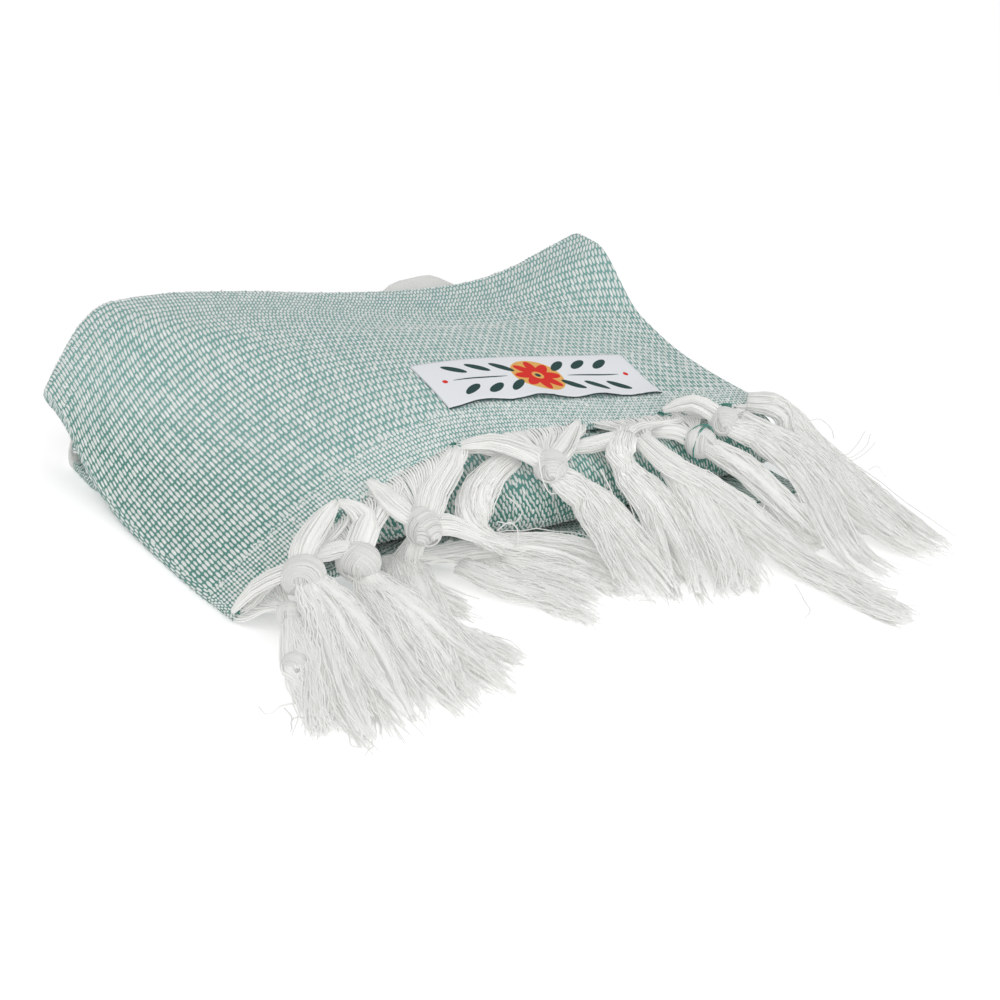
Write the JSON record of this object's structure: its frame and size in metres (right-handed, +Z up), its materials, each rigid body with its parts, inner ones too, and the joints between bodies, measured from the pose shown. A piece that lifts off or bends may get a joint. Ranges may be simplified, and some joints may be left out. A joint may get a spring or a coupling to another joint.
{
  "type": "folded hammam towel",
  "caption": "Hammam towel folded into a flat, softly humped pack, with knotted tassel fringe along both hems and a sewn woven label near the top hem.",
  "frame": {"origin": "middle of the whole towel's bounding box in x and y, on the surface that it lies on", "axes": "+X runs along the top hem from its left end to its right end, +Y runs from the fringed front to the folds at the back, +Z is up"},
  "size_m": [0.2986, 0.3252, 0.062],
  "materials": {
    "cloth": "matt cotton weave, white slanted floats on sea green",
    "yarn": "matt white cotton yarn, loosely twisted",
    "label": "white woven satin with a soft sheen"
  },
  "bodies": {
    "root": {"towel": "cloth", "label": "label", "fringe_upper": "yarn", "fringe_lower": "yarn"}
  },
  "joints": []
}
